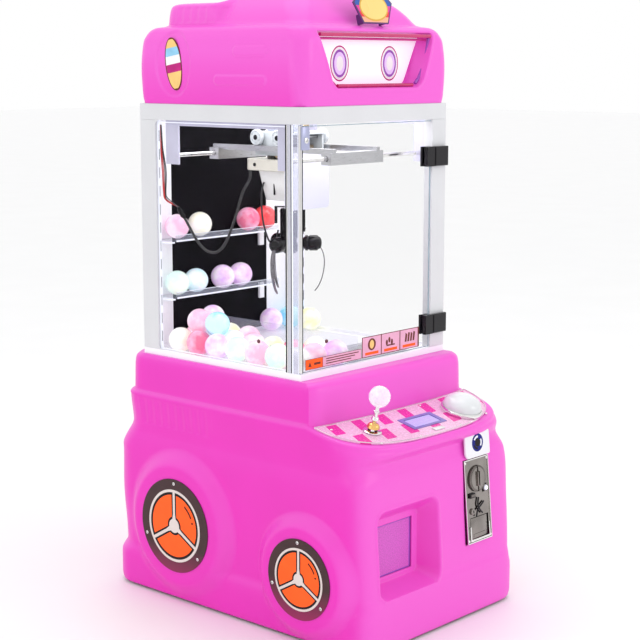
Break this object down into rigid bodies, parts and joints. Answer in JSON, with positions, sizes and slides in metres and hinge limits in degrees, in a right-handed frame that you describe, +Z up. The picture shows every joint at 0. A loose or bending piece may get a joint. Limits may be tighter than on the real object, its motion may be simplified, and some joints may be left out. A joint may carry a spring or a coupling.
{
  "type": "claw crane machine",
  "caption": "Claw crane machine: car-shaped moulded base and roof, glazed cabinet with hinged glass door, overhead gantry with drop claw, joystick deck, coin unit and prize flap.",
  "frame": {"origin": "centre of the bounding box footprint, on the floor", "axes": "+Z up; the player stands at -Y facing +Y; +X to the player's right"},
  "size_m": [0.569, 0.77, 1.335],
  "materials": {
    "pink_moulding": "glossy moulded shell",
    "wheel_decal": "printed disc",
    "white_sheet": "powder coat",
    "white_plastic": "glossy",
    "black_sheet": "satin",
    "glazing": "clear",
    "clear_acrylic": "clear",
    "crystal": "clear, bubbled",
    "chrome": "polished",
    "steel": "brushed",
    "aluminium": "anodised",
    "black_plastic": "satin",
    "grey_plastic": "satin",
    "grey_sheet": "satin",
    "deck_print": "printed, striped",
    "display": "display window",
    "dome_pearl": "pearl",
    "smoked_plastic": "tinted",
    "diffuser": "opal, lit from behind",
    "cord_black": "satin"
  },
  "bodies": {
    "cabinet": {"base_shell": "pink_moulding", "base_floor": "grey_sheet", "wheel_disc_front_left": "wheel_decal", "wheel_disc_front_right": "wheel_decal", "wheel_disc_rear_left": "wheel_decal", "wheel_disc_rear_right": "wheel_decal", "power_inlet": "black_plastic", "prize_chute": "white_sheet", "deck_panel": "deck_print", "display_module": "display", "joystick_base": "black_plastic", "button_ring": "chrome", "coin_mech": "chrome", "play_floor": "white_sheet", "chute_guard": "clear_acrylic", "post_front_left": "aluminium", "post_front_right": "white_sheet", "post_rear_left": "white_sheet", "post_rear_right": "white_sheet", "back_panel": "black_sheet", "glass_left": "glazing", "glass_right": "glazing", "header_frame": "white_sheet", "shelf_upper": "clear_acrylic", "shelf_lower": "clear_acrylic", "hinge_lower_fixed": "black_plastic", "hinge_upper_fixed": "black_plastic", "rail_front": "chrome", "rail_rear": "chrome", "rail_bracket_left": "grey_sheet", "rail_bracket_right": "grey_sheet", "roof_shell": "pink_moulding", "light_panel": "diffuser", "cable_left": "cord_black", "cable_plug": "black_plastic"},
    "door": {"door_glass": "glazing", "hinge_lower_clamp": "black_plastic", "hinge_upper_clamp": "black_plastic"},
    "bridge": {"bridge_frame": "grey_sheet", "cable_right": "cord_black"},
    "trolley": {"trolley_chassis": "grey_sheet", "hoist_housing": "white_plastic", "hoist_cover": "white_sheet", "hoist_cord": "cord_black", "claw_lead": "cord_black"},
    "roller_front": {"roller_axle_front": "grey_plastic"},
    "roller_rear": {"roller_axle_rear": "grey_plastic"},
    "claw": {"claw_body": "black_plastic"},
    "finger_1": {"claw_finger_1": "black_plastic"},
    "finger_2": {"claw_finger_2": "black_plastic"},
    "finger_3": {"claw_finger_3": "black_plastic"},
    "gimbal": {"joystick_gimbal": "steel"},
    "stick": {"joystick_shaft": "chrome", "joystick_ball": "crystal"},
    "play_button": {"button_dome": "dome_pearl"},
    "reject_button": {"coin_reject_button": "steel"},
    "return_flap": {"coin_return_flap": "steel"},
    "flap": {"prize_flap": "smoked_plastic"},
    "rear_door": {"rear_service_door": "pink_moulding"},
    "coin_drawer": {"coin_box": "steel"}
  },
  "joints": [
    {"name": "door_hinge", "type": "hinge", "parent": "cabinet", "child": "door", "pos_m": [0.1868, -0.2015, 0.8], "axis": [0, 0, 1], "range_deg": [0, 100]},
    {"name": "bridge_travel", "type": "slide", "parent": "cabinet", "child": "bridge", "axis": [1, 0, 0], "range_m": [-0.11, 0.13], "deforming": ["cable_left"]},
    {"name": "trolley_travel", "type": "slide", "parent": "bridge", "child": "trolley", "axis": [0, 1, 0], "range_m": [-0.075, 0.05], "deforming": ["cable_right"]},
    {"name": "roller_front_spin", "type": "hinge", "parent": "trolley", "child": "roller_front", "pos_m": [-0.013, 0.016, 1.023], "axis": [1, 0, 0], "continuous": true},
    {"name": "roller_rear_spin", "type": "hinge", "parent": "trolley", "child": "roller_rear", "pos_m": [-0.013, 0.08, 1.023], "axis": [1, 0, 0], "continuous": true},
    {"name": "claw_drop", "type": "slide", "parent": "trolley", "child": "claw", "axis": [0, 0, -1], "range_m": [0, 0.12], "deforming": ["hoist_cord", "claw_lead"]},
    {"name": "finger_1_close", "type": "hinge", "parent": "claw", "child": "finger_1", "pos_m": [0.00715, 0.02578, 0.789], "axis": [0.7408, 0.6717, 0], "range_deg": [-12, 24], "stiffness_Nm_per_rad": 1.2},
    {"name": "finger_2_close", "type": "hinge", "parent": "claw", "child": "finger_2", "pos_m": [-0.00383, 0.07656, 0.789], "axis": [-0.9521, 0.3057, 0], "range_deg": [-12, 24], "stiffness_Nm_per_rad": 1.2},
    {"name": "finger_3_close", "type": "hinge", "parent": "claw", "child": "finger_3", "pos_m": [-0.04232, 0.04166, 0.789], "axis": [0.2113, -0.9774, 0], "range_deg": [-12, 24], "stiffness_Nm_per_rad": 1.2},
    {"name": "joystick_fore_aft", "type": "hinge", "parent": "cabinet", "child": "gimbal", "pos_m": [-0.146, -0.30307, 0.42947], "axis": [1, 0, 0], "range_deg": [-12, 12], "stiffness_Nm_per_rad": 4},
    {"name": "joystick_side", "type": "hinge", "parent": "gimbal", "child": "stick", "pos_m": [-0.146, -0.30307, 0.42947], "axis": [0, 0.9697, 0.2444], "range_deg": [-12, 12], "stiffness_Nm_per_rad": 4},
    {"name": "play_button_press", "type": "slide", "parent": "cabinet", "child": "play_button", "axis": [0, 0.2444, -0.9697], "range_m": [0, 0.004], "stiffness_N_per_m": 400, "springref_m": -0.01},
    {"name": "coin_reject_press", "type": "slide", "parent": "cabinet", "child": "reject_button", "axis": [0, 0.996, -0.0889], "range_m": [0, 0.005], "stiffness_N_per_m": 200, "springref_m": -0.004},
    {"name": "return_flap_hinge", "type": "hinge", "parent": "cabinet", "child": "return_flap", "pos_m": [0.126, -0.37682, 0.21555], "axis": [1, 0, 0], "range_deg": [0, 60], "stiffness_Nm_per_rad": 0.02, "springref_deg": -20.05},
    {"name": "prize_flap_hinge", "type": "hinge", "parent": "cabinet", "child": "flap", "pos_m": [-0.1065, -0.3272, 0.2562], "axis": [1, 0, 0], "range_deg": [0, 75]},
    {"name": "rear_door_hinge", "type": "hinge", "parent": "cabinet", "child": "rear_door", "pos_m": [-0.14, 0.3845, 0.195], "axis": [0, 0, 1], "range_deg": [0, 110]},
    {"name": "coin_box_slide", "type": "slide", "parent": "cabinet", "child": "coin_drawer", "axis": [0, 1, 0], "range_m": [0, 0.12]}
  ],
  "couplings": [
    {"joint": "roller_front_spin", "follows": "trolley_travel", "rad_per_m": -57.143},
    {"joint": "roller_rear_spin", "follows": "trolley_travel", "rad_per_m": -57.143},
    {"joint": "finger_2_close", "follows": "finger_1_close", "ratio": 1},
    {"joint": "finger_3_close", "follows": "finger_1_close", "ratio": 1}
  ]
}
